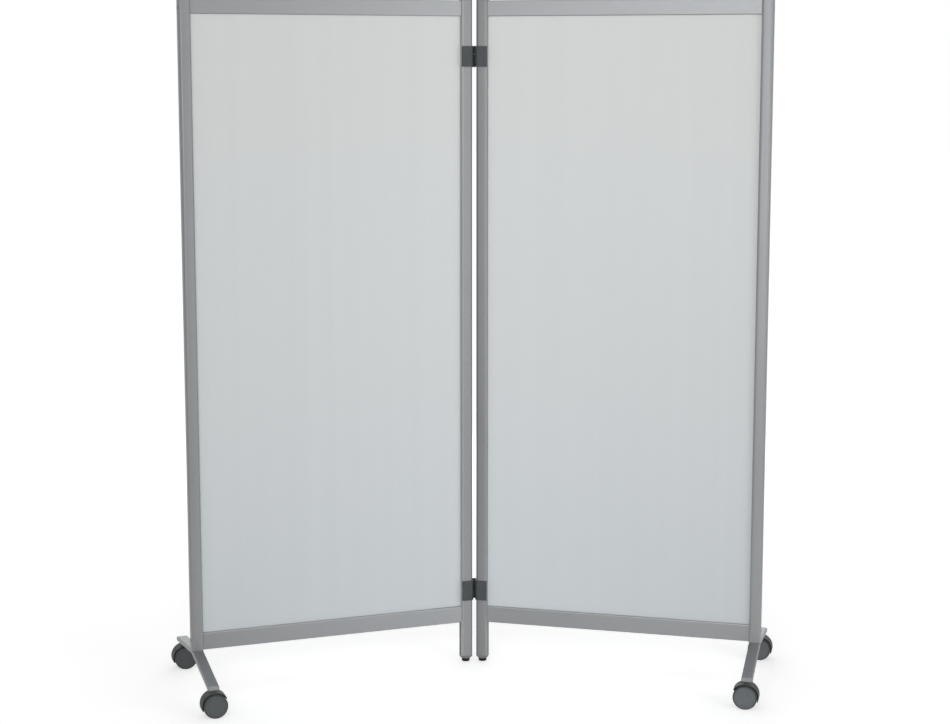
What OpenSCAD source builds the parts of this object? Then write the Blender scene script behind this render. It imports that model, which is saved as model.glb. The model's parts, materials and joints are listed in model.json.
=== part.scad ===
// Rolling partition of two framed leaves, hinged together in the middle.
// Each leaf rolls on two twin-wheel swivel casters under its outer post and
// rests on a glide under its inner post.
// Z is up, X runs across both leaves and the front looks along -Y.
// The origin lies on the floor, below the middle of the whole partition.
// A leaf is drawn along +X with the hinge axis at the origin, then put in place.

/* [Leaf] */
// Height of the whole partition
total_h = 1740; // [1500:5:2100]
// Width of one leaf over its two posts
leaf_w = 750; // [550:5:1000]
// Angle by which each leaf stands forward of the straight line
leaf_angle = 16.65; // [1:0.05:22]
// Clear gap between the two inner posts
post_gap = 21; // [20:0.5:30]

/* [Posts] */
// Width and depth of a post
post_w = 30; // [28:1:40]
// Radius of a post's long edges
post_r = 7; // [5:0.5:9]
// Wall of a post
post_wall = 1.5; // [1.2:0.1:2.2]
// Height of the outer posts' lower end above the floor
outer_post_z = 108; // [100:1:130]
// Height of the inner posts' lower end above the floor
inner_post_z = 17; // [14:1:40]
// Thickness of a post's top cap
cap_t = 4; // [3:0.5:6]
// Radius of the cap's domed top
cap_dome_r = 200; // [120:10:400]
// Length of the plug under a cap and over a glide
plug_len = 14; // [8:1:18]

/* [Rails] */
// Depth of a rail from front to back
rail_d = 20; // [18:1:26]
// Height of the top rail
top_rail_h = 40; // [38:1:60]
// Height of the bottom rail
bottom_rail_h = 44; // [40:1:70]
// Radius of a rail's long edges
rail_r = 3; // [2:0.5:5]
// Wall of a rail
rail_wall = 1.5; // [1.2:0.1:2]
// Distance of the end screw from the rail's closed edge
port_level = 25; // [23:0.5:26]
// Outer radius of the screw port inside a rail
port_r = 4.5; // [4:0.25:5]
// Diameter of the rail's end screws
screw_d = 5; // [4:0.5:6]
// Diameter of the end screws' heads
screw_head_d = 9; // [8:0.5:10]
// Height of the end screws' heads
screw_head_h = 3; // [2:0.5:4]
// Width of the ring round an end screw's head that the post leaves free
screw_room = 1; // [0.5:0.25:2]
// Length of the end screws inside the rail
screw_grip = 20; // [12:1:40]

/* [Panel] */
// Thickness of the translucent sheet
sheet_t = 6; // [4:0.5:7]
// Wall of the sheet in front of and behind its hollow cells
sheet_wall = 0.6; // [0.4:0.1:1]
// Distance from one web between the cells to the next
web_pitch = 6; // [4:0.5:12]
// Thickness of a web
web_t = 0.5; // [0.4:0.1:1]
// Depth of the groove that holds the sheet
groove_d = 8; // [6:0.5:9]
// Thickness of the gasket beside the sheet
gasket_t = 1.5; // [1:0.1:2]
// Thickness of the gasket behind the sheet's edge
gasket_back = 1; // [0.5:0.1:2]

/* [Hinges] */
// Height of a hinge
hinge_h = 52; // [40:1:80]
// Lower hinge above the bottom rail
low_hinge_gap = 17; // [5:1:60]
// Upper hinge below the top rail
high_hinge_gap = 75; // [5:1:150]
// Distance of the hinge axis behind the middle of the leaf
pivot_back = 7; // [5:0.5:8]
// Wall of a hinge collar in front of and behind the post
collar_wall = 3.5; // [2.5:0.25:5]
// Wall of a hinge collar on the side of the gap
collar_side = 2.5; // [1.5:0.25:3]
// Radius of a collar's long edges at the gap
collar_r = 9; // [7:0.5:10]
// Radius of a collar's lip edges
lip_r = 1.5; // [0.5:0.25:2]
// Distance of a collar's lips from the post's panel side
collar_lip = 1; // [0.5:0.5:6]
// Number of knuckles of a hinge
knuckles = 5; // [3:2:7]
// Outer radius of a knuckle
knuckle_r = 5.5; // [5:0.25:6.5]
// Diameter of a hinge pin
pin_d = 6; // [4:0.5:7]
// Diameter of a hinge pin's heads
pin_head_d = 9; // [7.5:0.5:10]
// Height of a hinge pin's heads
pin_head_h = 1.5; // [1:0.25:3]
// Diameter of the hinge screws
hinge_screw_d = 4; // [3:0.5:5]
// Diameter of the hinge screws' heads
hinge_head_d = 7.5; // [6.5:0.5:9]
// Height of the hinge screws' heads
hinge_head_h = 2; // [1:0.25:2.25]
// Length of the hinge screws below their heads
hinge_screw_len = 9; // [6:0.5:12]
// Distance between the two screws of a hinge collar
hinge_screw_pitch = 28; // [16:1:30]

/* [Feet] */
// Length of a foot bar
foot_len = 420; // [360:5:520]
// Width of a foot bar
foot_w = 28; // [26:1:36]
// Thickness of a foot bar
foot_t = 10; // [9:0.5:14]
// Radius of a foot bar's upper edges
foot_r = 3; // [1:0.5:4]
// Thickness of a foot bar's roof
foot_roof = 4; // [3:0.25:5]
// Thickness of a foot bar's side walls and ribs
foot_wall = 3; // [2:0.25:4]
// Number of ribs under each arm
foot_ribs = 2; // [1:1:4]
// Height of the seat under the post
seat_h = 4; // [2:0.5:6]
// Distance of a caster's stem from the bar's end
stem_inset = 15; // [13:0.5:25]
// Radius of the boss round a caster's stem
stem_boss_r = 10; // [8:0.5:12]
// Diameter of the foot bolts
bolt_d = 6; // [5:0.5:7]
// Distance between the two foot bolts
bolt_pitch = 15; // [13:0.5:16]
// Diameter of the bolts' heads
bolt_head_d = 10; // [9:0.5:11]
// Height of the bolts' heads
bolt_head_h = 5; // [3:0.5:6]
// Width across flats of the socket in a bolt's head
bolt_key = 5; // [3:0.5:6]
// Length of the bolts inside the post's insert
bolt_grip = 14; // [8:0.5:15]
// Space between the insert's top and the rail screw's head
insert_gap = 2.5; // [1:0.5:5]

/* [Casters] */
// Height of a caster below the foot bar
caster_h = 70; // [68:0.5:80]
// Diameter of a wheel
wheel_d = 60; // [50:1:62]
// Width of a caster over both wheels
caster_w = 48; // [42:1:60]
// Width of the housing between the wheels
body_w = 14; // [13:0.5:18]
// Distance of the axle beside the swivel axis
trail = 4; // [0:0.5:12]
// Radius of the wheels' rounded treads
tread_r = 4; // [2:0.5:6]
// Radius at which a wheel's rim starts
rim_r = 24; // [20:0.5:24]
// Radius of a wheel's hub
hub_r = 7; // [5.5:0.25:9]
// Thickness of a wheel's outer disc
disc_t = 4; // [3:0.25:6]
// Width of the ring groove on a wheel's disc
ring_w = 1.5; // [0.5:0.25:3]
// Depth of the ring groove on a wheel's disc
ring_h = 0.8; // [0.4:0.1:1.5]
// Diameter of an axle
axle_d = 6; // [5:0.5:8]
// Diameter of a swivel stem
stem_d = 8; // [6:0.5:9]
// Depth of the stem inside the foot bar
stem_grip = 7; // [5:0.5:8]
// Height of the stem's lower end above the axle's middle
stem_low = 10; // [8:0.5:14]
// Radius of the neck round the stem
neck_r = 9.5; // [7:0.5:11]
// Radius of the housing's plate between the wheels
plate_r = 26; // [18:0.5:27]
// Distance between a wheel's tread and the hood
hood_gap = 1.5; // [1:0.25:2.5]
// Thickness of the hood
hood_t = 2; // [1.5:0.25:3]
// Radius of the hood's outer edges
hood_edge_r = 1.5; // [0.5:0.25:1.5]
// Width of the hood
hood_w = 34; // [24:1:44]
// Angle at which the hood starts, from the outer side
hood_start = -20; // [-40:5:10]
// Angle at which the hood ends
hood_end = 150; // [110:5:180]
// Angle between the hood's ends and the plate that carries it
plate_inset = 3; // [1:1:10]
// Depth to which the plate and the neck reach into the hood
hood_bite = 0.5; // [0.25:0.25:1]

/* [Glides] */
// Diameter of a glide
glide_d = 21; // [18:0.5:26]
// Height of a glide below the post's plug
glide_h = 8; // [6:0.5:12]
// Chamfer of the glide's lower edge
glide_chamfer = 1; // [0.5:0.25:2]
// Height of the glide's neck
neck_h = 2; // [1:0.5:4]
// Diameter of the glide's neck
glide_neck_d = 15; // [12:0.5:18]
// Diameter of the glide's threaded stem
glide_stem_d = 8; // [6:0.5:10]
// Length of the glide's threaded stem
glide_stem_len = 18; // [10:1:24]
// Radius of the plug's tapered end at the glide
plug_end_r = 12; // [11:0.5:14]

/* [Fits] */
// Clearance between pieces that are fixed together
fit = 0.1; // [0.05:0.01:0.2]
// Radial clearance of a pin, stem or axle that turns
run = 0.05; // [0.02:0.01:0.1]
// End clearance between pieces that move past each other
play = 0.3; // [0.2:0.05:0.5]

/* [Hidden] */
$fn = 48;

// Sides of the partition, and front or rear of a foot or caster
left = -1;
right = 1;
front = -1;
rear = 1;

// Overlap of a cut past the face that it opens
over = 1;

// Posts and rails
post_top = total_h - cap_t;
post_core_w = post_w - 2 * post_wall;
inner_x = post_gap / 2 + post_w / 2;
outer_x = post_gap / 2 + leaf_w - post_w / 2;
rail_x = inner_x + post_w / 2;
rail_len = outer_x - inner_x - post_w;
bottom_rail_top = outer_post_z + bottom_rail_h;
top_rail_z = post_top - top_rail_h;
low_screw_z = outer_post_z + port_level;
high_screw_z = post_top - port_level;

// Panel
groove_w = sheet_t + 2 * gasket_t + 2 * fit;
engage = groove_d - gasket_back - fit;
sheet_z = bottom_rail_top - engage;
sheet_h = top_rail_z + engage - sheet_z;

// Hinges, seen from above with the hinge axis at the origin
low_hinge_z = bottom_rail_top + low_hinge_gap;
high_hinge_z = top_rail_z - high_hinge_gap - hinge_h;
collar_x = post_gap / 2 - collar_side;
collar_end = rail_x - collar_lip;
collar_front_y = -pivot_back - post_w / 2 - collar_wall;
collar_rear_y = post_w / 2 - pivot_back + collar_wall;
knuckle_h = (hinge_h - (knuckles - 1) * play) / knuckles;

// Feet
foot_end_z = caster_h + foot_t;
stem_y = foot_len / 2 - stem_inset;
arm_slope = atan((outer_post_z - foot_end_z) / (foot_len / 2 - post_w / 2));
crest_z = foot_end_z + foot_len / 2 * tan(arm_slope);
pocket_start = post_w / 2 + foot_wall;
pocket_end = stem_y - stem_boss_r - foot_wall;
pocket_pitch = (pocket_end - pocket_start + foot_wall) / (foot_ribs + 1);
insert_h = port_level - screw_head_d / 2 - insert_gap;

// Casters
wheel_r = wheel_d / 2;
wheel_in = body_w / 2 + play;
wheel_w = caster_w / 2 - wheel_in;
hood_r = wheel_r + hood_gap;

// Reach of the partition in front of and behind the hinge axis
wheel_reach = (wheel_r - tread_r) * sin(leaf_angle)
    + (caster_w / 2 - tread_r) * cos(leaf_angle) + tread_r;
front_reach = (outer_x - trail) * sin(leaf_angle)
    + (stem_y + pivot_back) * cos(leaf_angle) + wheel_reach;
rear_caster_reach = (stem_y - pivot_back) * cos(leaf_angle)
    - (outer_x - trail) * sin(leaf_angle) + wheel_reach;
collar_reach = (collar_rear_y - collar_r) * cos(leaf_angle)
    - (collar_x + collar_r) * sin(leaf_angle) + collar_r;
hinge_y = (front_reach - max(rear_caster_reach, collar_reach)) / 2;

// ---------- placing ----------

// Puts what is drawn for a leaf along +X on the left or right leaf
module on_leaf(side) {
    translate([0, hinge_y, 0])
        mirror([side == left ? 1 : 0, 0, 0])
            rotate([0, 0, -leaf_angle])
                children();
}

// Puts what is drawn round a post's middle, its groove towards +X
module at_inner_post() {
    translate([inner_x, -pivot_back, 0])
        children();
}

module at_outer_post() {
    translate([outer_x, -pivot_back, 0])
        mirror([1, 0, 0])
            children();
}

// Puts what is drawn round a swivel axis on its caster
module on_caster(side, end) {
    on_leaf(side)
        translate([outer_x, -pivot_back + end * stem_y, 0])
            children();
}

// ---------- outlines ----------

// Rectangle round the origin with rounded corners
module rounded_rect(w, h, r) {
    square([w - 2 * r, h], center = true);
    square([w, h - 2 * r], center = true);
    for (x = [-1, 1], y = [-1, 1])
        translate([x * (w / 2 - r), y * (h / 2 - r)])
            circle(r);
}

// Section of a post: a tube with a groove for the sheet on its +X side
module post_section() {
    difference() {
        union() {
            difference() {
                rounded_rect(post_w, post_w, post_r);
                rounded_rect(post_core_w, post_core_w, post_r - post_wall);
            }
            post_groove_block(post_wall);
        }
        translate([post_w / 2 - groove_d, -groove_w / 2])
            square([groove_d + over, groove_w]);
    }
}

// Room that the groove and its wall take inside a post
module post_groove_block(wall) {
    depth = groove_d + wall;
    width = groove_w + 2 * wall;
    translate([post_w / 2 - depth, -width / 2])
        square([depth - post_wall / 2, width]);
}

// Section of a piece that is pushed into a post's end
module post_core_section() {
    core = post_core_w - 2 * fit;
    difference() {
        rounded_rect(core, core, post_r - post_wall - fit);
        post_groove_block(post_wall + fit);
    }
}

// Section of a rail of height h, its groove for the sheet on top
module rail_section(h) {
    core_h = h - 2 * rail_wall;
    block_w = groove_w + 2 * rail_wall;
    difference() {
        union() {
            translate([0, h / 2])
                difference() {
                    rounded_rect(rail_d, h, rail_r);
                    rounded_rect(rail_d - 2 * rail_wall, core_h, rail_r - rail_wall);
                }
            translate([-block_w / 2, h - groove_d - rail_wall])
                square([block_w, groove_d + rail_wall / 2]);
            translate([-rail_d / 2 + rail_wall / 2, port_level - rail_wall / 2])
                square([rail_d - rail_wall, rail_wall]);
            translate([0, port_level])
                circle(port_r);
        }
        translate([-groove_w / 2, h - groove_d])
            square([groove_w, groove_d + over]);
        translate([0, port_level])
            circle(screw_d / 2 + fit);
    }
}

// Section of the sheet: two walls with upright hollow cells between them
module sheet_section() {
    sheet_w = rail_len + 2 * engage;
    cells = floor((sheet_w - web_t) / web_pitch);
    end_web = (sheet_w - cells * web_pitch + web_t) / 2;
    difference() {
        translate([0, -sheet_t / 2])
            square([sheet_w, sheet_t]);
        for (k = [0 : cells - 1])
            translate([end_web + k * web_pitch, -sheet_t / 2 + sheet_wall])
                square([web_pitch - web_t, sheet_t - 2 * sheet_wall]);
    }
}

// Section of a gasket round a sheet's edge, which lies at x = 0
module gasket_section() {
    full_t = sheet_t + 2 * gasket_t;
    difference() {
        translate([-gasket_back, -full_t / 2])
            square([engage + gasket_back, full_t]);
        translate([0, -sheet_t / 2])
            square([engage + over, sheet_t]);
    }
}

// Outline of a hinge collar round the inner post, open on the panel side
module collar_section() {
    depth = collar_rear_y - collar_front_y;
    width = collar_end - collar_x;
    difference() {
        translate([collar_x + width / 2, (collar_front_y + collar_rear_y) / 2])
            union() {
                translate([-width / 4, 0])
                    collar_half(width / 2, depth, collar_r);
                rotate(180)
                    translate([-width / 4, 0])
                        collar_half(width / 2, depth, lip_r);
            }
        translate([inner_x, -pivot_back])
            rounded_rect(post_w + 2 * fit, post_w + 2 * fit, post_r + fit);
    }
}

// Rectangle round the origin whose two corners at -X are rounded
module collar_half(w, h, r) {
    translate([-w / 2 + r, -h / 2])
        square([w - r, h]);
    translate([-w / 2, -h / 2 + r])
        square([w, h - 2 * r]);
    for (y = [-1, 1])
        translate([-w / 2 + r, y * (h / 2 - r)])
            circle(r);
}

// ---------- frame ----------

// Cuts for the screw that holds a rail's end on a post
module rail_screw_cuts() {
    for (z = [low_screw_z, high_screw_z])
        translate([0, 0, z])
            rotate([0, 90, 0]) {
                translate([0, 0, -post_w / 2 - over])
                    cylinder(h = post_wall + 2 * over, d = screw_head_d + 2 * screw_room);
                cylinder(h = post_w / 2, d = screw_d + 2 * fit);
            }
}

// Cuts for the screws of the hinge collars, in the rear wall
module hinge_screw_cuts() {
    for (z = [low_hinge_z, high_hinge_z], k = [-1, 1])
        translate([0, post_w / 2 + over, z + hinge_h / 2 + k * hinge_screw_pitch / 2])
            rotate([90, 0, 0])
                cylinder(h = post_wall + 2 * over, d = hinge_screw_d + 2 * fit);
}

module outer_post(side) {
    color("#8d9094")
        on_leaf(side) at_outer_post()
            difference() {
                translate([0, 0, outer_post_z])
                    linear_extrude(post_top - outer_post_z)
                        post_section();
                rail_screw_cuts();
            }
}

module inner_post(side) {
    color("#8d9094")
        on_leaf(side) at_inner_post()
            difference() {
                translate([0, 0, inner_post_z])
                    linear_extrude(post_top - inner_post_z)
                        post_section();
                rail_screw_cuts();
                hinge_screw_cuts();
            }
}

module bottom_rail(side) {
    color("#94979b")
        on_leaf(side)
            translate([rail_x, -pivot_back, outer_post_z])
                rotate([90, 0, 90])
                    linear_extrude(rail_len)
                        rail_section(bottom_rail_h);
}

module top_rail(side) {
    color("#94979b")
        on_leaf(side)
            translate([rail_x, -pivot_back, post_top])
                mirror([0, 0, 1])
                    rotate([90, 0, 90])
                        linear_extrude(rail_len)
                            rail_section(top_rail_h);
}

module panel_sheet(side) {
    color("#c9cfd0")
        on_leaf(side)
            translate([rail_x - engage, -pivot_back, sheet_z])
                linear_extrude(sheet_h)
                    sheet_section();
}

// Four gasket strips: two in the posts' grooves, two in the rails' grooves
module sheet_gasket(side) {
    color("#7c8084")
        on_leaf(side) {
            translate([rail_x - engage, -pivot_back, sheet_z])
                linear_extrude(sheet_h)
                    gasket_section();
            translate([rail_x + rail_len + engage, -pivot_back, sheet_z])
                mirror([1, 0, 0])
                    linear_extrude(sheet_h)
                        gasket_section();
            translate([rail_x + fit, -pivot_back, sheet_z])
                gasket_along_rail();
            translate([rail_x + fit, -pivot_back, sheet_z + sheet_h])
                mirror([0, 0, 1])
                    gasket_along_rail();
        }
}

// Gasket strip along a rail, the sheet's edge at z = 0
module gasket_along_rail() {
    rotate([90, 0, 90])
        linear_extrude(rail_len - 2 * fit)
            rotate(90)
                gasket_section();
}

// Screw along +X, the underside of its head at the origin
module rail_screw() {
    rotate([0, 90, 0]) {
        translate([0, 0, -screw_head_h])
            cylinder(h = screw_head_h, d = screw_head_d);
        cylinder(h = post_wall + groove_d + screw_grip, d = screw_d);
    }
}

module frame_screws(side) {
    color("#b4b6b8")
        on_leaf(side)
            for (z = [low_screw_z, high_screw_z]) {
                at_inner_post()
                    translate([post_w / 2 - groove_d - post_wall, 0, z])
                        rail_screw();
                at_outer_post()
                    translate([post_w / 2 - groove_d - post_wall, 0, z])
                        rail_screw();
            }
}

// Domed cap on a post's top with a plug inside the tube
module post_cap() {
    translate([0, 0, post_top])
        intersection() {
            linear_extrude(cap_t)
                rounded_rect(post_w, post_w, post_r);
            translate([0, 0, cap_t - cap_dome_r])
                sphere(cap_dome_r, $fn = 360);
        }
    translate([0, 0, post_top - plug_len])
        linear_extrude(plug_len)
            post_core_section();
}

module post_caps(side) {
    color("#6f7377")
        on_leaf(side) {
            at_inner_post()
                post_cap();
            at_outer_post()
                post_cap();
        }
}

// ---------- glides under the inner posts ----------

module glide_plug(side) {
    taper_h = inner_post_z - glide_h;
    corner_r = post_w / sqrt(2);
    color("#808488")
        on_leaf(side) at_inner_post()
            difference() {
                union() {
                    translate([0, 0, inner_post_z])
                        linear_extrude(plug_len)
                            post_core_section();
                    intersection() {
                        translate([0, 0, glide_h])
                            linear_extrude(taper_h)
                                rounded_rect(post_w, post_w, post_r);
                        translate([0, 0, glide_h])
                            cylinder(h = taper_h, r1 = plug_end_r, r2 = corner_r);
                    }
                }
                translate([0, 0, glide_h - over])
                    cylinder(h = glide_stem_len + fit + over, d = glide_stem_d + 2 * fit);
            }
}

module glide(side) {
    base_h = glide_h - neck_h;
    color("#1d1f20")
        on_leaf(side) at_inner_post() {
            cylinder(h = glide_chamfer, d1 = glide_d - 2 * glide_chamfer, d2 = glide_d);
            translate([0, 0, glide_chamfer])
                cylinder(h = base_h - glide_chamfer, d = glide_d);
            cylinder(h = glide_h, d = glide_neck_d);
            cylinder(h = glide_h + glide_stem_len, d = glide_stem_d);
        }
}

// ---------- hinges ----------

// Half of a hinge on the leaf drawn along +X: a collar and its knuckles
module hinge_half(z, first) {
    difference() {
        translate([0, 0, z]) {
            linear_extrude(hinge_h)
                collar_section();
            for (k = [first : 2 : knuckles - 1])
                translate([0, 0, k * (knuckle_h + play)])
                    linear_extrude(knuckle_h) {
                        circle(knuckle_r);
                        translate([0, -knuckle_r])
                            square([collar_x + collar_side / 2, 2 * knuckle_r]);
                    }
        }
        translate([0, 0, z - over])
            cylinder(h = hinge_h + 2 * over, r = pin_d / 2 + run);
        for (k = [-1, 1])
            translate([inner_x, collar_rear_y, z + hinge_h / 2 + k * hinge_screw_pitch / 2])
                rotate([90, 0, 0]) {
                    translate([0, 0, -over])
                        cylinder(h = hinge_head_h + over, d = hinge_head_d + 2 * fit);
                    cylinder(h = collar_wall + over, d = hinge_screw_d + 2 * fit);
                }
    }
}

// The left half carries the first and last knuckle, the right half those between
module left_hinge_half(z) {
    color("#4b5153")
        on_leaf(left)
            hinge_half(z, 0);
}

module right_hinge_half(z) {
    color("#4b5153")
        on_leaf(right)
            hinge_half(z, 1);
}

module hinge_pin(z) {
    color("#5a5e60")
        translate([0, hinge_y, z]) {
            cylinder(h = hinge_h, d = pin_d);
            translate([0, 0, -pin_head_h])
                cylinder(h = pin_head_h, d = pin_head_d);
            translate([0, 0, hinge_h])
                cylinder(h = pin_head_h, d = pin_head_d);
        }
}

module hinge_screws(side, z) {
    color("#5a5e60")
        on_leaf(side)
            for (k = [-1, 1])
                translate([inner_x, collar_rear_y, z + hinge_h / 2 + k * hinge_screw_pitch / 2])
                    rotate([90, 0, 0]) {
                        cylinder(h = hinge_head_h, d = hinge_head_d);
                        cylinder(h = hinge_head_h + hinge_screw_len, d = hinge_screw_d);
                    }
}

// ---------- feet ----------

// Draws a section along both sloping arms, which cross below the post
module along_arms() {
    arm_len = foot_len / 2 / cos(arm_slope) + foot_t;
    for (end = [0, 1])
        mirror([0, end, 0])
            translate([0, 0, crest_z])
                rotate([90 + arm_slope, 0, 0])
                    translate([0, 0, -foot_t])
                        linear_extrude(arm_len + foot_t)
                            children();
}

// Solid section of a foot bar, its upper edges rounded, its top at y = 0
module bar_section() {
    translate([-foot_w / 2, -foot_t])
        square([foot_w, foot_t - foot_r]);
    translate([-foot_w / 2 + foot_r, -foot_t])
        square([foot_w - 2 * foot_r, foot_t]);
    for (x = [-1, 1])
        translate([x * (foot_w / 2 - foot_r), -foot_r])
            circle(foot_r);
}

// Section of the hollow under a foot bar
module hollow_section() {
    translate([-foot_w / 2 + foot_wall, -foot_t - over])
        square([foot_w - 2 * foot_wall, foot_t - foot_roof + over]);
}

// Blocks between the ribs of both arms, as long as each pocket
module pocket_blocks() {
    for (k = [0 : foot_ribs], end = [0, 1])
        mirror([0, end, 0])
            translate([-foot_w / 2, pocket_start + k * pocket_pitch, 0])
                cube([foot_w, pocket_pitch - foot_wall, outer_post_z]);
}

module foot_bar(side) {
    color("#85888c")
        on_leaf(side) at_outer_post()
            difference() {
                union() {
                    intersection() {
                        along_arms()
                            bar_section();
                        translate([-foot_w / 2, -foot_len / 2, 0])
                            cube([foot_w, foot_len, outer_post_z]);
                    }
                    translate([0, 0, outer_post_z - seat_h])
                        linear_extrude(seat_h)
                            rounded_rect(post_w, post_w, post_r);
                    for (end = [front, rear])
                        translate([0, end * stem_y, caster_h])
                            cylinder(h = foot_t - foot_roof, r = stem_boss_r);
                }
                intersection() {
                    along_arms()
                        hollow_section();
                    pocket_blocks();
                }
                for (k = [-1, 1])
                    translate([0, k * bolt_pitch / 2, outer_post_z - foot_t - over]) {
                        cylinder(h = bolt_head_h + over, d = bolt_head_d + 2 * fit);
                        cylinder(h = foot_t + 2 * over, d = bolt_d + 2 * fit);
                    }
                for (end = [front, rear])
                    translate([0, end * stem_y, caster_h - over])
                        cylinder(h = stem_grip + fit + over, d = stem_d + 2 * fit);
            }
}

// Block inside the outer post's end that the foot bolts go into
module foot_insert(side) {
    color("#9a9c9e")
        on_leaf(side) at_outer_post()
            translate([0, 0, outer_post_z])
                difference() {
                    linear_extrude(insert_h)
                        post_core_section();
                    for (k = [-1, 1])
                        translate([0, k * bolt_pitch / 2, -over])
                            cylinder(h = insert_h + 2 * over, d = bolt_d + 2 * fit);
                }
}

module foot_bolts(side) {
    seat_z = outer_post_z - foot_t + bolt_head_h;
    color("#b4b6b8")
        on_leaf(side) at_outer_post()
            for (k = [-1, 1])
                translate([0, k * bolt_pitch / 2, seat_z])
                    difference() {
                        union() {
                            translate([0, 0, -bolt_head_h])
                                cylinder(h = bolt_head_h, d = bolt_head_d);
                            cylinder(h = outer_post_z - seat_z + bolt_grip, d = bolt_d);
                        }
                        translate([0, 0, -bolt_head_h - over])
                            cylinder(h = bolt_head_h / 2 + over, d = bolt_key / cos(30), $fn = 6);
                    }
}

// Swivel stems, fixed in the foot bar
module caster_stems(side) {
    bottom_z = wheel_r + stem_low;
    color("#b4b6b8")
        for (end = [front, rear])
            on_caster(side, end)
                translate([0, 0, bottom_z])
                    cylinder(h = caster_h + stem_grip - bottom_z, d = stem_d);
}

// ---------- casters ----------

// Draws round the middle of the axle, which lies along Y
module at_axle() {
    translate([-trail, 0, wheel_r])
        children();
}

// Hood over the wheels, and the plate that carries it between them
module hood() {
    rotate([90, 0, 0]) {
        rotate([0, 0, hood_start])
            rotate_extrude(angle = hood_end - hood_start, $fn = 96)
                hood_section();
        linear_extrude(body_w, center = true)
            plate_outline($fn = 96);
    }
}

// Section of the hood: radius along X, width along Y
module hood_section() {
    edge = min(hood_edge_r, hood_t - fit);
    translate([hood_r, -hood_w / 2])
        square([hood_t - edge, hood_w]);
    translate([hood_r, -hood_w / 2 + edge])
        square([hood_t, hood_w - 2 * edge]);
    for (y = [-1, 1])
        translate([hood_r + hood_t - edge, y * (hood_w / 2 - edge)])
            circle(edge);
}

// Plate between the wheels, seen from the front: it reaches up into the hood
module plate_outline() {
    far = 2 * hood_r;
    plate_start = hood_start + plate_inset;
    plate_end = hood_end - plate_inset;
    circle(plate_r);
    intersection() {
        circle(hood_r + hood_bite);
        polygon([
            [0, 0],
            far * [cos(plate_start), sin(plate_start)],
            far * [1, 1],
            far * [-1, 1],
            far * [cos(plate_end), sin(plate_end)]
        ]);
    }
}

// Neck round the stem, on top of the hood
module neck(top_z) {
    difference() {
        translate([0, 0, wheel_r])
            cylinder(h = top_z - wheel_r, r = neck_r);
        at_axle()
            rotate([90, 0, 0])
                cylinder(h = caster_w, r = hood_r + hood_bite, center = true, $fn = 96);
    }
}

module caster_housing(side, end) {
    top_z = caster_h - play;
    stem_hole_z = wheel_r + stem_low - play;
    color("#2c2f31")
        on_caster(side, end)
            difference() {
                union() {
                    at_axle()
                        hood();
                    neck(top_z);
                }
                translate([0, 0, stem_hole_z])
                    cylinder(h = caster_h, r = stem_d / 2 + run);
                at_axle()
                    rotate([90, 0, 0])
                        cylinder(h = caster_w, d = axle_d + 2 * fit, center = true);
            }
}

module axle(side, end) {
    half_len = caster_w / 2 - disc_t - play;
    color("#b4b6b8")
        on_caster(side, end) at_axle()
            rotate([90, 0, 0])
                cylinder(h = 2 * half_len, d = axle_d, center = true);
}

// Half section of a wheel: radius along X, from its inner side at y = 0 outwards
module wheel_section() {
    difference() {
        intersection() {
            translate([0, wheel_w / 2])
                rounded_rect(wheel_d, wheel_w, tread_r);
            square([wheel_r, wheel_w]);
        }
        translate([hub_r, -over])
            square([rim_r - hub_r, wheel_w - disc_t + over]);
        translate([0, -over])
            square([axle_d / 2 + run, wheel_w - disc_t + over]);
        translate([rim_r - ring_w, wheel_w - ring_h])
            square([ring_w, ring_h + over]);
    }
}

// A wheel on the front or rear side of its caster
module wheel(side, end, place) {
    color("#56595b")
        on_caster(side, end) at_axle()
            mirror([0, place == rear ? 0 : 1, 0])
                translate([0, wheel_in, 0])
                    rotate([-90, 0, 0])
                        rotate_extrude($fn = 96)
                            wheel_section();
}

outer_post(left);  // left_outer_post
inner_post(left);  // left_inner_post
top_rail(left);  // left_top_rail
bottom_rail(left);  // left_bottom_rail
panel_sheet(left);  // left_panel_sheet
sheet_gasket(left);  // left_sheet_gasket
frame_screws(left);  // left_frame_screws
post_caps(left);  // left_post_caps
glide_plug(left);  // left_glide_plug
glide(left);  // left_glide
foot_bar(left);  // left_foot_bar
foot_insert(left);  // left_foot_insert
foot_bolts(left);  // left_foot_bolts
caster_stems(left);  // left_caster_stems
outer_post(right);  // right_outer_post
inner_post(right);  // right_inner_post
top_rail(right);  // right_top_rail
bottom_rail(right);  // right_bottom_rail
panel_sheet(right);  // right_panel_sheet
sheet_gasket(right);  // right_sheet_gasket
frame_screws(right);  // right_frame_screws
post_caps(right);  // right_post_caps
glide_plug(right);  // right_glide_plug
glide(right);  // right_glide
foot_bar(right);  // right_foot_bar
foot_insert(right);  // right_foot_insert
foot_bolts(right);  // right_foot_bolts
caster_stems(right);  // right_caster_stems
caster_housing(left, front);  // left_front_caster_housing
axle(left, front);  // left_front_axle
wheel(left, front, front);  // left_front_caster_front_wheel
wheel(left, front, rear);  // left_front_caster_rear_wheel
caster_housing(left, rear);  // left_rear_caster_housing
axle(left, rear);  // left_rear_axle
wheel(left, rear, front);  // left_rear_caster_front_wheel
wheel(left, rear, rear);  // left_rear_caster_rear_wheel
caster_housing(right, front);  // right_front_caster_housing
axle(right, front);  // right_front_axle
wheel(right, front, front);  // right_front_caster_front_wheel
wheel(right, front, rear);  // right_front_caster_rear_wheel
caster_housing(right, rear);  // right_rear_caster_housing
axle(right, rear);  // right_rear_axle
wheel(right, rear, front);  // right_rear_caster_front_wheel
wheel(right, rear, rear);  // right_rear_caster_rear_wheel
left_hinge_half(high_hinge_z);  // upper_hinge_left_half
right_hinge_half(high_hinge_z);  // upper_hinge_right_half
hinge_pin(high_hinge_z);  // upper_hinge_pin
hinge_screws(left, high_hinge_z);  // upper_hinge_left_screws
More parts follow.
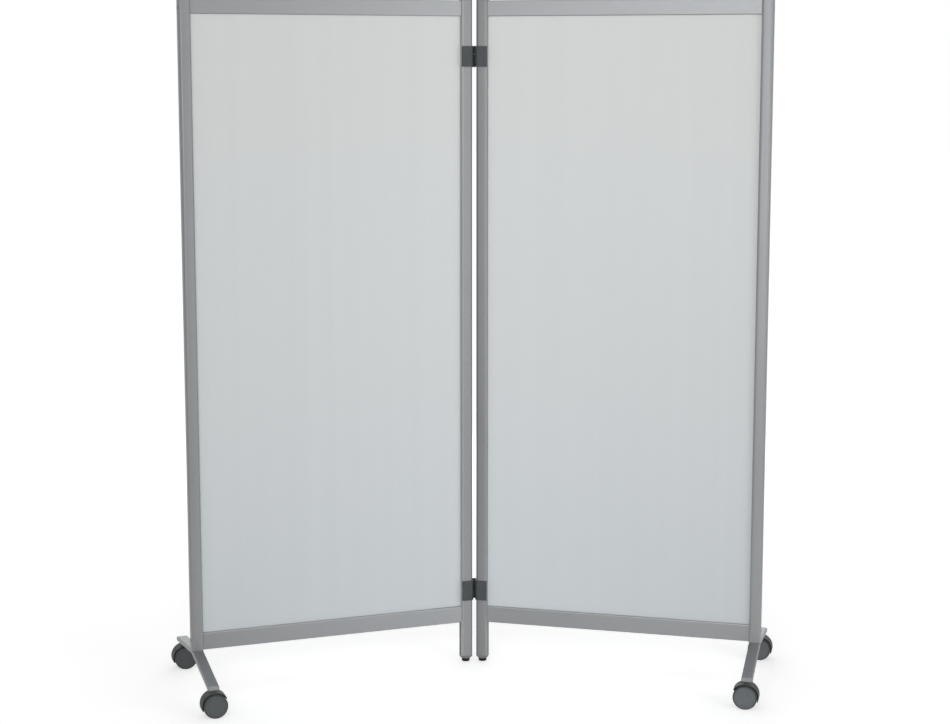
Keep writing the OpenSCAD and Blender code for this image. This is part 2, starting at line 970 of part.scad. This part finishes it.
hinge_screws(right, high_hinge_z);  // upper_hinge_right_screws
left_hinge_half(low_hinge_z);  // lower_hinge_left_half
right_hinge_half(low_hinge_z);  // lower_hinge_right_half
hinge_pin(low_hinge_z);  // lower_hinge_pin
hinge_screws(left, low_hinge_z);  // lower_hinge_left_screws
hinge_screws(right, low_hinge_z);  // lower_hinge_right_screws
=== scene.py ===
import json
import math

import bpy
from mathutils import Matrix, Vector


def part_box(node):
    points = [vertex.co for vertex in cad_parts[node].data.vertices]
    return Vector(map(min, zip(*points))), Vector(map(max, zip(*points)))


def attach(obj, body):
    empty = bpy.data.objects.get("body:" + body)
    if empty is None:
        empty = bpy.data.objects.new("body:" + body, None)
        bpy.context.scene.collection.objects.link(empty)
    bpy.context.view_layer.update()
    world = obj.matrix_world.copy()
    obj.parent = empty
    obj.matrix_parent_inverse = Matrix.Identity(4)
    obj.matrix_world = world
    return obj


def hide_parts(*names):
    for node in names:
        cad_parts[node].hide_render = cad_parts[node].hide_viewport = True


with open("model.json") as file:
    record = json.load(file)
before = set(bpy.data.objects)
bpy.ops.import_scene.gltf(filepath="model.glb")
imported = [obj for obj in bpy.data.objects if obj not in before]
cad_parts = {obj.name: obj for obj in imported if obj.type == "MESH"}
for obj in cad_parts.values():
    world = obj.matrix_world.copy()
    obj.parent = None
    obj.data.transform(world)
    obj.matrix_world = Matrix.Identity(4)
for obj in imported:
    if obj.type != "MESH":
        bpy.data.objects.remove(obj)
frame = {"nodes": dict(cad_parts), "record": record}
nodes = frame["nodes"]
slotOf = {part["node"]: part["material_slot"] for part in frame["record"]["subparts"]}
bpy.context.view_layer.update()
sides = ("left", "right")
print("frame loaded:", len(nodes), "pieces")


def middle(node):
    low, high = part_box(node)
    return (low + high) / 2


def leafDirection(side):  # level, from the inner post to the outer post
    along = middle(side + "_outer_post") - middle(side + "_inner_post")
    return Vector((along.x, along.y, 0)).normalized()


def rearDirection(side):  # level, out of the leaf's rear face
    along = leafDirection(side)
    across = Vector((-along.y, along.x, 0))
    return across if across.y > 0 else -across


# camera, at the photograph's viewing angle
pictureSize = (950, 724)
cameraValues = {
    "place": (-0.2254, -4.4866, 1.5660),  # metres, in front of the partition
    "pitch": 7.735,  # degrees down
    "yaw": 2.781,  # degrees to the right
    "focal": 1821.0,  # pixels, in a picture 950 wide
    "centreY": 315.3,  # pixel row that the lens axis meets
    "sensorWidth": 36.0,  # millimetres
    "farthest": 60.0,  # metres that the camera sees
}


def addCamera(values):
    data = bpy.data.cameras.new("camera")
    camera = bpy.data.objects.new("camera", data)
    bpy.context.scene.collection.objects.link(camera)
    data.sensor_width = values["sensorWidth"]
    data.lens = values["focal"] / pictureSize[0] * values["sensorWidth"]
    data.shift_y = -(pictureSize[1] / 2 - values["centreY"]) / pictureSize[0]
    data.clip_end = values["farthest"]
    pitch, yaw = math.radians(values["pitch"]), math.radians(values["yaw"])
    camera.location = values["place"]
    camera.rotation_euler = (math.pi / 2 - pitch, 0, -yaw)
    bpy.context.scene.camera = camera


addCamera(cameraValues)
print("camera placed")


# shader helpers
class Value:  # a number that varies over the surface, for use in expressions
    def __init__(self, graph, socket):
        self.graph = graph
        self.socket = socket

    def operate(self, operation, *terms):
        made = self.graph.add("ShaderNodeMath", {"operation": operation}, list(terms))
        return Value(self.graph, made.outputs[0])

    def __add__(self, other):
        return self.operate("ADD", self, other)

    def __sub__(self, other):
        return self.operate("SUBTRACT", self, other)

    def __rsub__(self, other):
        return self.operate("SUBTRACT", other, self)

    def __mul__(self, other):
        return self.operate("MULTIPLY", self, other)

    def __abs__(self):
        return self.operate("ABSOLUTE", self)

    def root(self):
        return self.operate("SQRT", self)

    def larger(self, other):
        return self.operate("MAXIMUM", self, other)

    def wave(self):  # from 0 to 1, once for each whole turn
        return self.operate("SINE", self * math.tau) * 0.5 + 0.5

    def remap(self, low, high, start=0.0, end=1.0):
        made = self.graph.add("ShaderNodeMapRange", sockets={
            "Value": self, "From Min": low, "From Max": high, "To Min": start, "To Max": end})
        return Value(self.graph, made.outputs[0])

    def spread(self, start=0.0, end=1.0):  # draws out the range in which a noise mostly lies
        return self.remap(0.3, 0.7, start, end)

    __radd__ = __add__
    __rmul__ = __mul__


class Graph:  # a node tree with short ways to add to it
    def __init__(self, tree):
        self.tree = tree
        self.place = self.add("ShaderNodeTexCoord").outputs["Object"]  # in metres

    def add(self, kind, settings=None, sockets=None):
        made = self.tree.nodes.new(kind)
        for key, value in (settings or {}).items():
            setattr(made, key, value)
        pairs = enumerate(sockets) if isinstance(sockets, list) else (sockets or {}).items()
        for key, value in pairs:
            self.feed(made.inputs[key], value)
        return made

    def feed(self, target, value):
        if isinstance(value, Value):
            value = value.socket
        if isinstance(value, bpy.types.NodeSocket):
            self.tree.links.new(value, target)
        else:
            target.default_value = value

    def noise(self, scale, detail=2.0, stretch=(1, 1, 1), turn=0.0):  # scale: repeats to the metre
        moved = self.add("ShaderNodeMapping", sockets={
            "Vector": self.place, "Rotation": (0, 0, turn), "Scale": stretch})
        made = self.add("ShaderNodeTexNoise", sockets={
            "Vector": moved.outputs[0], "Scale": scale, "Detail": detail})
        return Value(self, made.outputs["Fac"])

    def along(self, direction):  # distance along a direction, in metres
        made = self.add("ShaderNodeVectorMath", {"operation": "DOT_PRODUCT"},
                        [self.place, tuple(direction)])
        return Value(self, made.outputs["Value"])

    def height(self):  # above the floor, in metres
        return self.along((0, 0, 1))

    def distance(self, centre):  # distance from a point, in metres
        made = self.add("ShaderNodeVectorMath", {"operation": "DISTANCE"},
                        [self.place, tuple(centre)])
        return Value(self, made.outputs["Value"])

    def blend(self, amount, first, second):
        made = self.add("ShaderNodeMix", {"data_type": "RGBA"}, {"Factor": amount})
        targets = [socket for socket in made.inputs if socket.type == "RGBA"]
        for target, colour in zip(targets, (first, second)):
            self.feed(target, (*colour, 1) if isinstance(colour, tuple) else colour)
        return next(socket for socket in made.outputs if socket.type == "RGBA")

    def seen(self, *kinds):  # 1 for rays of these kinds, else 0
        rays = self.add("ShaderNodeLightPath").outputs
        total = Value(self, rays[kinds[0]])
        for kind in kinds[1:]:
            total = total.larger(rays[kind])
        return total


class Finish(Graph):  # one procedural material
    def __init__(self, name, roughness=0.5, metallic=0.0, **inputs):
        self.material = bpy.data.materials.new(name)
        self.material.use_nodes = True
        super().__init__(self.material.node_tree)
        self.shader = self.tree.nodes["Principled BSDF"]
        self.set(Roughness=roughness, Metallic=metallic, **inputs)

    def set(self, **inputs):
        for key, value in inputs.items():
            self.feed(self.shader.inputs[key.replace("_", " ")], value)

    def bump(self, height, distance):
        made = self.add("ShaderNodeBump", sockets={"Height": height, "Distance": distance})
        self.set(Normal=made.outputs["Normal"])

    def cover(self, *names):
        for name in names:
            mesh = nodes[name].data
            mesh.materials.clear()
            mesh.materials.append(self.material)


black = (0.0, 0.0, 0.0)
white = (1.0, 1.0, 1.0)
# pale colour blended in as painted light on upper faces and beside the sheets
paintedLightColour = (0.50, 0.50, 0.49)


def toned(colour, tone):
    return tuple(tone * part for part in colour)


def fromMiddle(graph, node, direction):  # distance from a piece's middle, along a direction
    return graph.along(direction) - middle(node).dot(direction)


def outward(graph, side):  # 0 at the inner post, 1 at the outer post
    direction = leafDirection(side)
    ends = [middle(side + post).dot(direction) for post in ("_inner_post", "_outer_post")]
    return graph.along(direction).remap(*ends)


def leafTurn(side):  # angle that lays a drawn-out pattern along a leaf
    direction = leafDirection(side)
    return -math.atan2(direction.y, direction.x)


def paintedTopLight(graph, tint, top, values):  # painted light: paler towards an upper edge
    close = graph.height().remap(top - values["paintedLightFrom"], top - values["paintedLightFull"])
    return graph.blend(close * values["paintedLight"], tint, paintedLightColour)


def graded(graph, tint, place, paintedLightTones):  # painted light and shade: from one tone to the other; tint has the larger of them
    most = max(paintedLightTones)
    shade = place.remap(0, 1, 1 - paintedLightTones[0] / most, 1 - paintedLightTones[1] / most)
    return graph.blend(shade, tint, black)


# frame: satin grey coat on drawn metal
coatValues = {
    "light": (0.30, 0.31, 0.32),
    "dark": (0.27, 0.279, 0.288),
    "roughness": (0.42, 0.49),  # on the darkest streaks, and on the lightest
    "metallic": 0.5,
    "specular": 0.4,
    "cloudScale": 6.0,
    "cloudShare": 0.6,  # of the variation in colour; the rest is streaks
    "streakScale": 260.0,
    "drawnOut": 0.01,  # how much slower streaks change along the metal than across it
    "grainScale": 1400.0,
    "grainDepth": 0.00004,
}
postValues = {
    "paintedLightTones": {  # painted light and shade across a post's front, on the side of the hinge and on the outer side
        "left_outer": (0.82, 0.66),
        "left_inner": (0.84, 0.86),
        "right_inner": (0.575, 0.725),
        "right_outer": (0.76, 0.86),
    },
    "halfWidth": 0.015,
    "corner": 0.005,  # width of the pale strip of painted light beside the sheet
    "cornerPaintedLight": 0.4,
    "paleLow": 0.04,  # painted light: how much paler a post is below
    "paleFrom": 0.60,  # height at which it starts to get paler
    "paleTo": 0.20,  # and below which it gets no paler
}
railValues = {
    "paintedLightTones": {  # painted light and shade at a rail's end on the hinge's side, and at its outer end
        "left_top": (1.20, 0.81),
        "left_bottom": (1.20, 0.885),
        "right_top": (1.005, 1.035),
        "right_bottom": (0.915, 0.995),
    },
    # painted light: the rail paler near its upper face
    "paintedLight": 0.45,
    "paintedLightFrom": 0.0025,  # depth below the upper face at which it starts
    "paintedLightFull": 0.0010,  # and above which it is full
}


def makeCoat(name, values, tone=1.0, turn=0.0, stretch=(1, 1, 1)):
    coat = Finish(name, metallic=values["metallic"], Specular_IOR_Level=values["specular"])
    streaks = coat.noise(values["streakScale"], stretch=stretch, turn=turn)
    clouds = coat.noise(values["cloudScale"], detail=3.0)
    share = values["cloudShare"]
    tint = coat.blend(clouds * share + streaks * (1 - share), toned(values["dark"], tone),
                      toned(values["light"], tone))
    coat.set(Base_Color=tint, Roughness=streaks.spread(*values["roughness"]))
    coat.bump(coat.noise(values["grainScale"], detail=1.0), values["grainDepth"])
    return coat, tint


def coatPost(post, values):
    node, paintedLightTones = post + "_post", values["paintedLightTones"][post]
    coat, tint = makeCoat(node, coatValues, max(paintedLightTones), stretch=(1, 1, coatValues["drawnOut"]))
    across = fromMiddle(coat, node, leafDirection(post.split("_")[0]))
    half = values["halfWidth"]
    # painted light and shade across the post's front
    tint = graded(coat, tint, across.remap(-half, half), paintedLightTones)
    # painted light: the post paler towards the bottom
    low = coat.height().remap(values["paleFrom"], values["paleTo"])
    tint = coat.blend(low * values["paleLow"], tint, white)
    # painted light: a pale strip on the post beside the sheet
    sheetSide = half if "inner" in post else -half
    corner = across.remap(sheetSide * (1 - values["corner"] / half), sheetSide)
    coat.set(Base_Color=coat.blend(corner * values["cornerPaintedLight"], tint, paintedLightColour))
    coat.cover(node)


def coatRail(rail, values):
    node, paintedLightTones = rail + "_rail", values["paintedLightTones"][rail]
    side = rail.split("_")[0]
    coat, tint = makeCoat(node, coatValues, max(paintedLightTones), leafTurn(side),
                          (coatValues["drawnOut"], 1, 1))
    # painted light and shade along the rail
    tint = graded(coat, tint, outward(coat, side), paintedLightTones)
    # painted light: paler near the rail's upper face
    coat.set(Base_Color=paintedTopLight(coat, tint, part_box(node)[1].z, values))
    coat.cover(node)


for post in postValues["paintedLightTones"]:
    coatPost(post, postValues)
for rail in railValues["paintedLightTones"]:
    coatRail(rail, railValues)


# feet: the same coat on a casting, bare metal inside the post
footValues = dict(coatValues, light=(0.278, 0.287, 0.294), dark=(0.250, 0.258, 0.266),
                  roughness=(0.33, 0.40), grainScale=700.0, grainDepth=0.00008,
                  halfWidth=0.014, edge=0.003, edgeShade=0.4)
castValues = {
    "light": (0.46, 0.46, 0.47),
    "dark": (0.36, 0.36, 0.37),
    "metallic": 0.9,
    "grainScale": 300.0,
    "grainDepth": 0.0001,
}


def coatFoot(side, values):  # a little darker down its two long sides
    node = side + "_foot_bar"
    coat, tint = makeCoat(node, values)
    half = values["halfWidth"]
    edge = abs(fromMiddle(coat, node, leafDirection(side))).remap(half - values["edge"], half)
    coat.set(Base_Color=coat.blend(edge * values["edgeShade"], tint, black))
    coat.cover(node)


def castInserts(values):
    bare = Finish("bare_casting", metallic=values["metallic"])
    grain = bare.noise(values["grainScale"], detail=4.0)
    bare.set(Base_Color=bare.blend(grain, values["dark"], values["light"]))
    bare.bump(grain, values["grainDepth"])
    bare.cover(*(side + "_foot_insert" for side in sides))


for side in sides:
    coatFoot(side, footValues)
castInserts(castValues)
print("frame and feet coated")


# sheets: frosted twin-wall plastic, its upright webs faintly seen
sheetValues = {
    # the sheet's own colour, with painted light: bluer and darker at the bottom, paler at the top
    "top": (0.645, 0.661, 0.652),
    "bottom": (0.588, 0.626, 0.652),
    # painted light: the right sheet a little lighter
    "paintedLightTones": {"left": 1.0, "right": 1.03},
    "fade": 0.10,  # painted shade: how much darker the sheet is at its outer edge
    "webPitch": 0.006,
    "webShade": 0.03,  # how much lighter the sheet is over a web
    "webDepth": 0.00005,
    "streakScale": 24.0,
    "streakShade": 0.035,
    "drawnOut": 0.01,  # how much slower streaks change up the sheet than across it
    "frostScale": 2600.0,
    "frostDepth": 0.00003,
    "roughness": 0.42,
    "specular": 0.3,
}


def finishSheet(side, values):
    sheet = Finish(side + "_frosted_sheet", values["roughness"],
                   Specular_IOR_Level=values["specular"])
    low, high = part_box(side + "_panel_sheet")
    upward = sheet.height().remap(low.z, high.z)
    webs = (sheet.along(leafDirection(side)) * (1 / values["webPitch"])).wave()
    streaks = sheet.noise(values["streakScale"], detail=3.0, stretch=(1, 0, values["drawnOut"]),
                          turn=leafTurn(side))
    # painted light and shade: a gradient from bottom to top, and darker towards the outer edge
    tint = sheet.blend(upward, *(toned(values[end], values["paintedLightTones"][side])
                                 for end in ("bottom", "top")))
    tint = sheet.blend(outward(sheet, side) * values["fade"], tint, black)
    shade = webs * values["webShade"] + streaks.spread() * values["streakShade"]
    sheet.set(Base_Color=sheet.blend(shade, tint, white))
    frost = sheet.noise(values["frostScale"])
    sheet.bump(webs + frost * (values["frostDepth"] / values["webDepth"]), values["webDepth"])
    sheet.cover(side + "_panel_sheet")


for side in sides:
    finishSheet(side, sheetValues)


# moulded plastic, rubber and steel
plasticValues = {
    "hinge_plastic": {"colour": (0.060, 0.069, 0.073), "roughness": 0.55, "specular": 0.3},
    "caster_plastic": {"colour": (0.014, 0.016, 0.017), "roughness": 0.5, "specular": 0.25},
    "grey_plastic": {"colour": (0.17, 0.176, 0.182), "roughness": 0.5, "specular": 0.4},
    "black_plastic": {"colour": (0.007, 0.008, 0.009), "roughness": 0.5, "specular": 0.2},
    "gasket": {"colour": (0.34, 0.35, 0.36), "roughness": 0.7, "specular": 0.3},
}
mouldValues = {  # the same for every moulded piece
    "cloudScale": 40.0,
    "cloudTones": (0.88, 1.12),
    "grainScale": 2200.0,
    "grainDepth": 0.00004,
    "smoother": 0.05,
    "rougher": 0.07,
}
hoodValues = {"paintedLight": 0.18, "paintedLightFrom": 0.018, "paintedLightFull": 0.004}  # painted light: the hood paler towards its top; the depths are below the hood's top
steelValues = {
    "light": (0.58, 0.58, 0.57),
    "dark": (0.46, 0.46, 0.45),
    "roughness": 0.32,
    "blotchScale": 90.0,
    "grainScale": 900.0,
    "grainDepth": 0.00003,
}


def shadePlastic(plastic, tint, roughness):
    grain = plastic.noise(mouldValues["grainScale"])
    rough = grain.spread(roughness - mouldValues["smoother"], roughness + mouldValues["rougher"])
    plastic.set(Base_Color=tint, Roughness=rough)
    plastic.bump(grain, mouldValues["grainDepth"])


def varied(plastic, colour):  # faint clouds of darker and lighter colour
    clouds = plastic.noise(mouldValues["cloudScale"], detail=3.0)
    return plastic.blend(clouds, *(toned(colour, tone) for tone in mouldValues["cloudTones"]))


def makePlastic(name, colour, roughness, specular):
    plastic = Finish(name, Specular_IOR_Level=specular)
    tint = varied(plastic, colour)
    # painted light on the caster hood's top
    if name == "caster_plastic":
        tint = paintedTopLight(plastic, tint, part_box("left_front_caster_housing")[1].z, hoodValues)
    shadePlastic(plastic, tint, roughness)
    return plastic


def makeSteel(values):
    steel = Finish("zinc_steel", values["roughness"], metallic=1.0)
    blotches = steel.noise(values["blotchScale"], detail=4.0)
    steel.set(Base_Color=steel.blend(blotches, values["dark"], values["light"]))
    steel.bump(steel.noise(values["grainScale"], detail=3.0), values["grainDepth"])
    return steel


finishes = {name: makePlastic(name, **values) for name, values in plasticValues.items()}
finishes["steel"] = makeSteel(steelValues)
for name, slot in slotOf.items():
    if slot in finishes:
        finishes[slot].cover(name)


# wheels: grey discs with darker tyres
wheelValues = {
    "disc": (0.088, 0.096, 0.100),
    # painted light and shade on each caster's disc
    "paintedLightTones": {"left_front": 0.93, "left_rear": 0.68, "right_front": 1.42, "right_rear": 1.42},
    "tyre": (0.040, 0.044, 0.046),
    "tyreRadius": 0.0262,
    "tyreEdge": 0.0004,  # over which the disc's colour turns into the tyre's
    "roughness": 0.5,
    "specular": 0.3,
}


def finishWheel(name, values):
    side, end = name.split("_")[:2]
    wheel = Finish(name, Specular_IOR_Level=values["specular"])
    across = fromMiddle(wheel, name, rearDirection(side))
    reach = wheel.distance(middle(name))
    radius = (reach * reach - across * across).root()
    rim = radius.remap(values["tyreRadius"], values["tyreRadius"] + values["tyreEdge"])
    # painted light and shade: each caster's disc lighter or darker
    disc = toned(values["disc"], values["paintedLightTones"][side + "_" + end])
    tint = wheel.blend(rim, varied(wheel, disc), varied(wheel, values["tyre"]))
    shadePlastic(wheel, tint, values["roughness"])
    wheel.cover(name)


for name, slot in slotOf.items():
    if slot == "wheel_plastic":
        finishWheel(name, wheelValues)
print("sheets, plastics, steel and wheels finished")


# hinge screws with cross recesses
screwValues = {
    "headRadius": 0.00375,
    "headHeight": 0.002,
    "shankRadius": 0.002,
    "shankLength": 0.009,
    "edge": 0.0003,
    "recess": (0.0042, 0.0010, 0.0024),  # length, width and depth of one slot of the cross
    "fromAxis": 0.0255,  # along the leaf, from the hinge axis
    "behindAxis": 0.0115,  # out of the rear face, from the hinge axis
    "pitch": 0.028,
}


def lathe(rings, vertices=40):  # radius and height of each ring, from the closed bottom up
    bpy.ops.object.select_all(action="DESELECT")
    radius, height = rings[0]
    bpy.ops.mesh.primitive_circle_add(vertices=vertices, radius=radius, fill_type="NGON",
                                      location=(0, 0, height))
    bpy.ops.object.mode_set(mode="EDIT")
    bpy.ops.mesh.select_all(action="SELECT")
    for nextRadius, nextHeight in rings[1:]:
        bpy.ops.mesh.extrude_region_move(
            TRANSFORM_OT_translate={"value": (0, 0, nextHeight - height)})
        bpy.ops.transform.resize(value=(nextRadius / radius, nextRadius / radius, 1),
                                 center_override=(0, 0, nextHeight))
        radius, height = nextRadius, nextHeight
    bpy.ops.mesh.select_all(action="SELECT")
    bpy.ops.mesh.normals_make_consistent(inside=False)
    bpy.ops.object.mode_set(mode="OBJECT")
    bpy.ops.object.transform_apply(location=True, rotation=True, scale=True)
    return bpy.context.object


def cut(piece, tool):
    modifier = piece.modifiers.new("cut", "BOOLEAN")
    modifier.operation = "DIFFERENCE"
    modifier.object = tool
    bpy.ops.object.select_all(action="DESELECT")
    bpy.context.view_layer.objects.active = piece
    piece.select_set(True)
    bpy.ops.object.modifier_apply(modifier="cut")
    bpy.data.objects.remove(tool)


def makeScrew(values):
    top, edge = values["headHeight"], values["edge"]
    shank, head = values["shankRadius"], values["headRadius"]
    screw = lathe([(shank - edge, -values["shankLength"]), (shank, edge - values["shankLength"]),
                   (shank, 0), (head, 0), (head, top - edge), (head - edge, top)])
    for turn in (0, math.pi / 2):
        bpy.ops.object.select_all(action="DESELECT")
        bpy.ops.mesh.primitive_cube_add(size=1, location=(0, 0, top), rotation=(0, 0, turn),
                                        scale=values["recess"])
        cut(screw, bpy.context.object)
    return screw


def addHingeScrews(level, side, values):
    node = level + "_hinge_" + side + "_screws"
    axis = middle(level + "_hinge_pin")
    along, rear = leafDirection(side), rearDirection(side)
    seat = axis + along * values["fromAxis"] + rear * (values["behindAxis"] - values["headHeight"])
    made = []
    for way in (-1, 1):
        screw = makeScrew(values)
        screw.rotation_euler = rear.to_track_quat("Z", "Y").to_euler()
        screw.location = seat + Vector((0, 0, way * values["pitch"] / 2))
        made.append(screw)
    bpy.context.view_layer.update()
    bpy.ops.object.select_all(action="DESELECT")
    for screw in made:
        screw.select_set(True)
    bpy.context.view_layer.objects.active = made[0]
    bpy.ops.object.join()
    bpy.ops.object.transform_apply(location=True, rotation=True, scale=True)
    piece = bpy.context.object
    piece.name = level + side.capitalize() + "HingeScrews"
    piece.data.materials.clear()
    piece.data.materials.append(finishes["steel"].material)
    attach(piece, side + "_leaf")
    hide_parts(node)


for level in ("upper", "lower"):
    for side in sides:
        addHingeScrews(level, side, screwValues)
print("hinge screws modelled")


# floor, background and light
floorValues = {
    "size": 60.0,
    "colour": 0.82,
    "roughness": 0.9,
    "near": 0.9,  # distances from the middle, between which the glow changes
    "far": 3.0,
    "glowNear": 0.5,
    "glowFar": 0.7,
}
skyValues = {
    "ambient": 0.9,  # light from round the horizon
    "ceiling": 0.25,  # light from overhead
    "low": 0.25,  # upward part of a direction, up to which the light is ambient
    "high": 0.75,  # and from which it is the ceiling's
}
lampValues = {
    "key": {"place": (-0.7, -3.8, 1.5), "aim": (0.1, 0, 0.8), "size": 1.8, "power": 48.0},
    "side": {"place": (2.9, -2.6, 1.2), "aim": (0, 0, 0.8), "size": 1.8, "power": 24.0},
    "back": {"place": (0.2, 3.0, 1.5), "aim": (0, 0, 0.9), "size": 2.4, "power": 22.0},
}
shownRays = ("Is Camera Ray", "Is Glossy Ray", "Is Transmission Ray")  # these see white


def addFloor(values):
    bpy.ops.object.select_all(action="DESELECT")
    bpy.ops.mesh.primitive_plane_add(size=values["size"])
    floor = bpy.context.object
    floor.name = "floor"
    pale = Finish("floor_white", values["roughness"], Specular_IOR_Level=0.0)
    glow = pale.distance((0, 0, 0)).remap(values["near"], values["far"],
                                          values["glowNear"], values["glowFar"])
    shown = pale.blend(pale.seen(*shownRays) * glow, black, white)
    pale.set(Base_Color=(*toned(white, values["colour"]), 1), Emission_Color=shown,
             Emission_Strength=1.0)
    floor.data.materials.append(pale.material)


def lightWorld(values):
    world = bpy.data.worlds.new("studio")
    bpy.context.scene.world = world
    world.use_nodes = True
    graph = Graph(world.node_tree)
    light = graph.height().remap(values["low"], values["high"],
                                 values["ambient"], values["ceiling"])
    background = graph.tree.nodes["Background"]
    graph.feed(background.inputs["Color"], (*white, 1))
    graph.feed(background.inputs["Strength"], light.larger(graph.seen(*shownRays)))


def addLamp(name, place, aim, size, power):
    data = bpy.data.lights.new(name, "AREA")
    data.size = size
    data.energy = power
    lamp = bpy.data.objects.new(name, data)
    bpy.context.scene.collection.objects.link(lamp)
    lamp.location = place
    lamp.rotation_euler = (Vector(aim) - Vector(place)).to_track_quat("-Z", "Y").to_euler()


addFloor(floorValues)
lightWorld(skyValues)
for name, values in lampValues.items():
    addLamp(name, **values)
bpy.context.scene.view_settings.view_transform = "Standard"
print("floor and lights placed")
